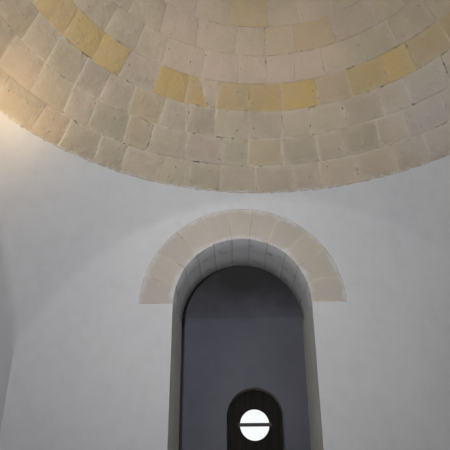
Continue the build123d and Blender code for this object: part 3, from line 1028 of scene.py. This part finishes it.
def cone_slabs():
    """The stepped rings of slabs."""
    draw = random.Random(5)
    foot = cone_high.x
    rise = (cone_high.z - cone_low.z) / CONE_RINGS
    blocks = []
    for ring in range(CONE_RINGS):
        radius = foot - ring * RING_SETBACK + SLAB_PROUD
        stretch = foot / radius
        start = draw.random()
        ring_width = SLAB_WIDTH * (1 - NARROWER_AT_TOP * ring / CONE_RINGS)
        for middle, width in split_row(start, 2 * math.pi * radius, ring_width, draw):
            out = draw.uniform(*SLAB_OUT)
            z = cone_low.z + rise * (ring + 0.5) + draw.uniform(*SLAB_UP)
            centre = (middle * stretch, foot - radius - out + SLAB_DEPTH / 2, z)
            size = ((width - SLAB_GAP) * stretch, SLAB_DEPTH, rise - draw.uniform(*SLAB_THINNER))
            blocks.append((centre, size, draw.random(), 0.0))
    piece = lay_blocks("cone_slabs", blocks, roof_stone, (3, 2, 2), wear=0.004, unevenness=0.014, seed=2)
    bend_round(piece, foot)
    finish_piece(piece, "roof_stone", soft=None)
    print("slabs on the cone:", len(blocks))


cone_slabs()

# %% [markdown]
# Broader slabs lie at the cone's foot, on the walls and over the alcove, where they throw the rain clear.
# They show their edges, so they get more faces and more wear than the cone's. A slab could be modelled once
# and copied, but then each would show the same chips. Here every width is drawn, and no two are alike.

# %% The eaves and the square coping
EAVES_WIDTH = 0.46
EAVES_DEPTH = 0.4
EAVES_JOINT = 0.014
EAVES_SETBACK = (0.002, 0.014)
COPING_WIDTH = 0.55
COPING_DEPTH = 0.42
COPING_JOINT = 0.016
COPING_NOSE = 0.006


def eaves_slabs():
    """Broad slabs that throw the rain clear of the cone's foot."""
    draw = random.Random(6)
    low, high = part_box("eaves_course")
    middle_z, thickness = (low.z + high.z) / 2, high.z - low.z + 0.008
    blocks = []
    for middle, width in split_row(0.0, 2 * math.pi * high.x, EAVES_WIDTH, draw, 0.25):
        centre = (middle, EAVES_DEPTH / 2 - draw.uniform(*EAVES_SETBACK), middle_z)
        blocks.append((centre, (width - EAVES_JOINT, EAVES_DEPTH, thickness), draw.random(), 0.0))
    piece = lay_blocks("eaves_slabs", blocks, roof_stone, (6, 4, 4), wear=0.008, unevenness=0.012, seed=4)
    bend_round(piece, high.x)
    finish_piece(piece, "roof_stone")


def coping_slabs():
    """Two square rings of slabs on top of the walls, the outer one with a worn nose."""
    draw = random.Random(7)
    low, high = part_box("coping")
    middle_z, thickness = (low.z + high.z) / 2, high.z - low.z + 0.01
    depth = COPING_DEPTH - COPING_JOINT
    blocks = []
    for ring in range(2):
        edge = high.x + COPING_NOSE + COPING_JOINT / 2 - ring * COPING_DEPTH
        line, inner = edge - COPING_DEPTH / 2, edge - COPING_DEPTH
        for x, y in ((line, line), (line, -line), (-line, line), (-line, -line)):
            blocks.append(((x, y, middle_z), (depth, depth, thickness), draw.random(), 0.0))
        for order, side in ((1, -1), (1, 1), (-1, -1), (-1, 1)):
            for middle, width in split_row(-inner, 2 * inner, COPING_WIDTH, draw, 0.2):
                centre = (middle, side * line)[::order]
                size = (width - COPING_JOINT, depth)[::order]
                blocks.append(((*centre, middle_z), (*size, thickness), draw.random(), 0.0))
    piece = lay_blocks("coping_slabs", blocks, roof_stone, (5, 5, 4), wear=0.012, unevenness=0.014, seed=6)
    finish_piece(piece, "roof_stone")


eaves_slabs()
coping_slabs()

# %% The alcove's roof of overlapping slabs
roof_low, roof_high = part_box("alcove_roof")
LAPPED_ROW = 0.17
ALCOVE_ROWS = round((roof_high.y - half_room) / LAPPED_ROW)
ROW_LENGTH = (roof_high.y - half_room) / ALCOVE_ROWS
ROW_LIP = 0.022
LAPPED_WIDTH = 0.36
LAPPED_JOINT = 0.011
LAPPED_THICKNESS = 0.02
LAPPED_SUNK = 0.006
ROOF_OVERHANG = 0.006
WALL_CLEARANCE = 0.012
SHORTEST_ROW = 0.05
RIDGE_DROP = 0.1
ROOF_FALL = 0.2
alcove_ridge_z = wall_top - RIDGE_DROP
alcove_fall = ROOF_FALL / (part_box("alcove_end_wall")[1].y - wall_top_face)


def alcove_roof_z(y):
    """Height of the alcove's roof line at a distance behind the room."""
    return alcove_ridge_z - alcove_fall * (y - wall_top_face)


def alcove_slabs():
    """Thin slabs on the lapped rows, from the room's wall out to the eave."""
    draw = random.Random(11)
    left, length = roof_low.x - ROOF_OVERHANG, roof_high.x - roof_low.x + 2 * ROOF_OVERHANG
    blocks = []
    for row in range(ALCOVE_ROWS):
        lip = roof_high.y - row * ROW_LENGTH
        start = max(lip - ROW_LENGTH, wall_top_face + WALL_CLEARANCE)
        if lip - start < SHORTEST_ROW:
            continue
        for middle, width in split_row(left, length, LAPPED_WIDTH, draw):
            size = (width - LAPPED_JOINT, lip - start - 0.001, LAPPED_THICKNESS)
            blocks.append(((middle, (start + lip) / 2, 0.0), size, draw.random(), 0.0))
    piece = lay_blocks("alcove_slabs", blocks, roof_stone, (5, 4, 4), wear=0.005, unevenness=0.005, seed=9)

    def slope(x, y, z):
        share = 1 - np.mod(roof_high.y - y, ROW_LENGTH) / ROW_LENGTH
        return x, y + ROOF_OVERHANG, alcove_roof_z(y) + ROW_LIP * share + z - LAPPED_SUNK

    move_points(piece, slope)
    finish_piece(piece, "roof_stone")


alcove_slabs()

# %% [markdown]
# ## The pinnacle
# The stones that crown a trullo are turned by hand and limewashed: a collar, a stem and a ball. A turned
# shape is one profile spun round an axis, so the three solids are replaced by one mesh with round edges
# and a little unevenness, as limewash gives.

# %% Profile and spin
ROUND_EDGE = 0.036
NECK_RADIUS = 0.11
STEM_FOOT = 0.03
PINNACLE_COLUMNS = 56


def pinnacle_profile():
    """Radius and height of points up the collar, the stem and the ball."""
    collar_low, collar_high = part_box("pinnacle_collar")
    stem_low, stem_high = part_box("pinnacle_stem")
    ball_low, ball_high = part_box("pinnacle_ball")
    collar, stem, ball = collar_high.x, stem_high.x, ball_high.x
    profile = [(0.0, collar_low.z), (collar, collar_low.z)]
    profile += arc_points(collar - ROUND_EDGE, collar_high.z - ROUND_EDGE, ROUND_EDGE, 6, 0.0, math.pi / 2)
    profile.append((stem + STEM_FOOT, collar_high.z))
    for step in range(9):
        share = step / 8
        waist = 0.02 * (1 - share) ** 8 - 0.012 * math.sin(math.pi * share)
        height = stem_low.z + (stem_high.z - stem_low.z) * share
        profile.append((stem + (NECK_RADIUS - stem) * share + waist, height))
    centre_z = ball_high.z - ball
    lowest = math.asin((ball_low.z - centre_z) / ball)
    return profile + arc_points(0.0, centre_z, ball, 16, lowest, math.pi / 2)


def pinnacle():
    """Collar, stem and ball in one lathe mesh."""
    profile = pinnacle_profile()
    points = []
    for radius, z in profile:
        for column in range(PINNACLE_COLUMNS):
            angle = 2 * math.pi * column / PINNACLE_COLUMNS
            x, y = math.cos(angle), math.sin(angle)
            reach = radius * min(1 + 0.02 * noise.noise((x * 1.5, y * 1.5, z * 5)), 1.0)
            points.append((x * reach, y * reach, z))
    piece = new_piece("pinnacle", points, grid_faces(len(profile), PINNACLE_COLUMNS), outer_lime)
    close_and_orient(piece)
    finish_piece(piece, "pinnacle_stone", "pinnacle_collar", "pinnacle_stem", "pinnacle_ball", soft=60)


pinnacle()

# %% [markdown]
# ## The limewashed rubble outside
# The outer walls are field stones laid in rough rows and limewashed so often that only soft bumps are
# left. The coat is one closed mesh per building part. Its face follows the wall's outline, which leans
# in as it rises, and a rule gives the bumps: rows that wander a little, stones of uneven width, and
# a shallow hollow along every joint.

# %% The bumps of rubble under limewash
RUBBLE_ROW = 0.25
RUBBLE_STONE = 0.4
RUBBLE_HOLLOW = 0.015
HOLLOW_REACH = 0.055
COAT_BED = 0.004


def rubble_relief(along, z):
    """Height of the limewashed face over its mean, in metres, and how deep in a hollow it is."""
    height = z + 0.085 * noise.noise((along * 1.3, z * 1.1, 2.0))
    height += 0.03 * noise.noise((along * 4.1, z * 3.1, 8.0))
    row = math.floor(height / RUBBLE_ROW)
    place = along / RUBBLE_STONE + 7.31 * row + 0.8 * noise.noise((along * 1.9, row * 3.3, 5.0))
    place += 0.12 * noise.noise((along * 3, z * 9, 4.0))
    stone = math.floor(place)
    to_bed = min(height / RUBBLE_ROW - row, row + 1 - height / RUBBLE_ROW) * RUBBLE_ROW
    to_joint = min(place - stone, stone + 1 - place) * RUBBLE_STONE
    hollow = 1 - min(1.0, min(to_bed, to_joint) / HOLLOW_REACH)
    lift = 0.005 * (1 + noise.cell((stone * 1.7 + 0.5, row * 2.3 + 0.5, 0.5)))
    lift += 0.003 * noise.noise((along * 5, z * 5, 1.0))
    return lift - RUBBLE_HOLLOW * hollow * hollow, hollow


def rubble_coat(name, outline_at, rows, closed, shift, cut):
    """Limewashed rubble on an outline that is given row by row, as X, Y, Z and the way outwards."""
    lengths = [0.0]
    ground_line = outline_at(0)
    for before, after in zip(ground_line, ground_line[1:]):
        lengths.append(lengths[-1] + math.hypot(after[0] - before[0], after[1] - before[1]))
    pairs, hollow_dirt_and_shade = [], []
    for row in range(rows + 1):
        for along, (x, y, z, out_x, out_y) in zip(lengths, outline_at(row)):
            bump, hollow = rubble_relief(along + shift, z)
            pairs.append([(x + out_x * off, y + out_y * off, z) for off in (COAT + bump, -COAT_BED)])
            hollow_dirt_and_shade.append(hollow)
    piece = coat_mesh(name, pairs, len(lengths), closed, outer_lime, hollow_dirt_and_shade)
    cut(piece)
    finish_piece(piece, "whitewash", soft=60)


# %% The coat round the room
HOUSE_ROWS = 72
HOUSE_CORNER = 0.16
SIDE_STEPS = 128
CORNER_STEPS = 6


def house_outline(row):
    """The room's outer faces at the height of a row, corners rounded, from the right side's near end."""
    z = wall_top * row / HOUSE_ROWS
    half = wall_face_at(z)
    straight = half - HOUSE_CORNER
    places = [(half, -straight + 2 * straight * step / SIDE_STEPS, 0.0) for step in range(SIDE_STEPS)]
    for step in range(CORNER_STEPS):
        angle = math.pi / 2 * step / CORNER_STEPS
        corner_x, corner_y = HOUSE_CORNER * math.cos(angle), HOUSE_CORNER * math.sin(angle)
        places.append((straight + corner_x, straight + corner_y, angle))
    outline = []
    for quarter in range(4):
        turned = math.pi / 2 * quarter
        c, s = math.cos(turned), math.sin(turned)
        for x, y, angle in places:
            out_x, out_y = math.cos(turned + angle), math.sin(turned + angle)
            outline.append((x * c - y * s, x * s + y * c, z, out_x, out_y))
    return outline


rubble_coat("house_limewash", house_outline, HOUSE_ROWS, True, 0, cut_doorways)

# %% The coat round the alcove
ALCOVE_COAT_ROWS = 66
ALCOVE_COAT_PITCH = 0.04
UNDER_THE_SLABS = 0.1
DIAGONAL = 0.7071
window_low, window_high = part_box("window_panel")


def cut_window(piece):
    """Cut the window's arched outline out of a coat on the end wall."""
    middle, half = (window_low.x + window_high.x) / 2, (window_high.x - window_low.x) / 2
    arc = arc_points(middle, window_high.z - half, half, 32)
    outline = [(middle + half, window_low.z), *arc, (middle - half, window_low.z)]
    cut_out(piece, outline, window_low.y - 1, window_low.y + 1)


def alcove_outline(row):
    """The alcove's three outer faces, from the room's right to its left, up to the slabs of its roof."""
    left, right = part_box("alcove_left_wall")[0].x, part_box("alcove_right_wall")[1].x
    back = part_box("alcove_end_wall")[1].y
    depth = back - wall_top_face
    sides = [wall_top_face + step * ALCOVE_COAT_PITCH for step in range(math.ceil(depth / ALCOVE_COAT_PITCH))]
    across = math.ceil((right - left) / ALCOVE_COAT_PITCH)
    path = [(right, y, 1, 0) for y in sides]
    path.append((right, back, DIAGONAL, DIAGONAL))
    path += [(right - (right - left) * step / across, back, 0, 1) for step in range(1, across)]
    path.append((left, back, -DIAGONAL, DIAGONAL))
    path += [(left, y, -1, 0) for y in reversed(sides)]
    share = row / ALCOVE_COAT_ROWS
    return [(x, y, (alcove_roof_z(y) - UNDER_THE_SLABS) * share, out_x, out_y) for x, y, out_x, out_y in path]


rubble_coat("alcove_limewash", alcove_outline, ALCOVE_COAT_ROWS, False, 40, cut_window)

# %% [markdown]
# ## The plaster in the alcove
# The alcove looks far darker than its distance explains. Its plaster is painted a dark blue-grey, which is
# painted shade and the cool light of its window, and black under the vault, as smoke leaves it. The end wall
# and the half vault over it are one bent sheet: a path up the wall and along the vault's arc, repeated across
# the alcove.

# %% One sheet for end wall and vault, and one for each side
VAULT_RISE = 0.55
ALCOVE_PLASTER = 0.009
ALCOVE_WAVES = ((0.004, 1.7), (0.001, 7))
SHEET_BED = 0.003
SIDE_LAP = 0.09
UP_STEPS, VAULT_STEPS, ACROSS_STEPS = 40, 30, 60
alcove_low, alcove_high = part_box("alcove_floor")
vault_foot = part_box("alcove_vault")[0].z
vault_top = vault_foot + VAULT_RISE
vault_start = wall_face_at(vault_top)
vault_radius = ((alcove_high.y - vault_start) ** 2 + VAULT_RISE**2) / (2 * VAULT_RISE)


def vault_height(y):
    """Height of the half vault's underside at a distance behind the room."""
    return vault_top - vault_radius + math.sqrt(vault_radius**2 - (y - vault_start) ** 2)


def alcove_sheet(name, path, columns, place, cut=None):
    """A closed sheet. The path gives two coordinates and a direction, and a rule turns them to X, Y and Z."""
    pairs = []
    for first, second, out_first, out_second in path:
        for across in columns:
            lift = ALCOVE_PLASTER + hand_laid((across, first, second), ALCOVE_WAVES)
            offs = (lift, -SHEET_BED)
            pairs.append([place(across, first + out_first * off, second + out_second * off) for off in offs])
    sheet = coat_mesh(name, pairs, len(columns), False, shaded_smoked_lime)
    if cut:
        cut(sheet)
    finish_piece(sheet, "whitewash", soft=40)


def end_plaster():
    """Plaster up the end wall and along the half vault, painted dark for shade and cool light, black with
    smoke high up.
    """
    heights = [floor_top + (vault_foot - floor_top) * step / UP_STEPS for step in range(UP_STEPS)]
    path = [(alcove_high.y, height, -1, 0) for height in heights]
    for step in range(VAULT_STEPS + 1):
        y = alcove_high.y - (alcove_high.y - vault_start) * step / VAULT_STEPS
        z = vault_height(y)
        off_y, off_z = y - vault_start, z - vault_top + vault_radius
        inward = math.hypot(off_y, off_z)
        path.append((y, z, -off_y / inward, -off_z / inward))
    span = alcove_high.x - alcove_low.x
    columns = [alcove_low.x + span * step / ACROSS_STEPS for step in range(ACROSS_STEPS + 1)]
    alcove_sheet("alcove_plaster", path, columns, lambda across, y, z: (across, y, z), cut_window)


def side_place(y, x, share):
    """A point of a side wall's plaster, which ends under the vault."""
    return x, y, floor_top + (vault_height(max(y, vault_start)) - floor_top) * share


end_plaster()
lap_start = wall_foot_face - SIDE_LAP
lap_length = alcove_high.y - lap_start
depths = [lap_start + lap_length * step / VAULT_STEPS for step in range(VAULT_STEPS + 1)]
for name, wall, outward in (("left", alcove_low.x, 1), ("right", alcove_high.x, -1)):
    path = [(wall, step / UP_STEPS, outward, 0) for step in range(UP_STEPS + 1)]
    alcove_sheet(f"alcove_plaster_{name}", path, depths, side_place)

# %% [markdown]
# ## The floor
# Inside, the floor is of limestone flags laid in rows, polished by feet. Only someone at the door sees
# it, but it is laid as carefully as the rest: worn blocks again, a couple of millimetres proud of their
# bed, with fine joints.

# %% Flags in the room and the alcove
FLAG_WIDTH = 0.56
FLAG_ROW = 0.42
FLAG_JOINT = 0.005
FLAG_THICKNESS = 0.03
FLAG_SUNK = 0.012
FLAG_UNEVEN = 0.002


def lay_flags(name, low, high, seed):
    """Rows of flags over the top of a floor, between two of its corners."""
    draw = random.Random(seed)
    count = max(1, round((high.y - low.y) / FLAG_ROW))
    step = (high.y - low.y) / count
    blocks = []
    for row in range(count):
        for middle, width in split_row(low.x, high.x - low.x, FLAG_WIDTH, draw, 0.3):
            z = high.z - FLAG_SUNK + draw.uniform(0, FLAG_UNEVEN)
            size = (width - FLAG_JOINT, step - FLAG_JOINT, FLAG_THICKNESS)
            blocks.append(((middle, low.y + (row + 0.5) * step, z), size, draw.random(), 0.0))
    piece = lay_blocks(name, blocks, floor_stone, (5, 5, 4), wear=0.004, unevenness=0.003, seed=seed)
    finish_piece(piece, "floor_stone")


lay_flags("room_flags", *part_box("room_floor"), 21)
lay_flags("alcove_flags", Vector((alcove_low.x, wall_foot_face, alcove_low.z)), alcove_high, 22)

# %% View settings
bpy.context.scene.view_settings.view_transform = "Standard"
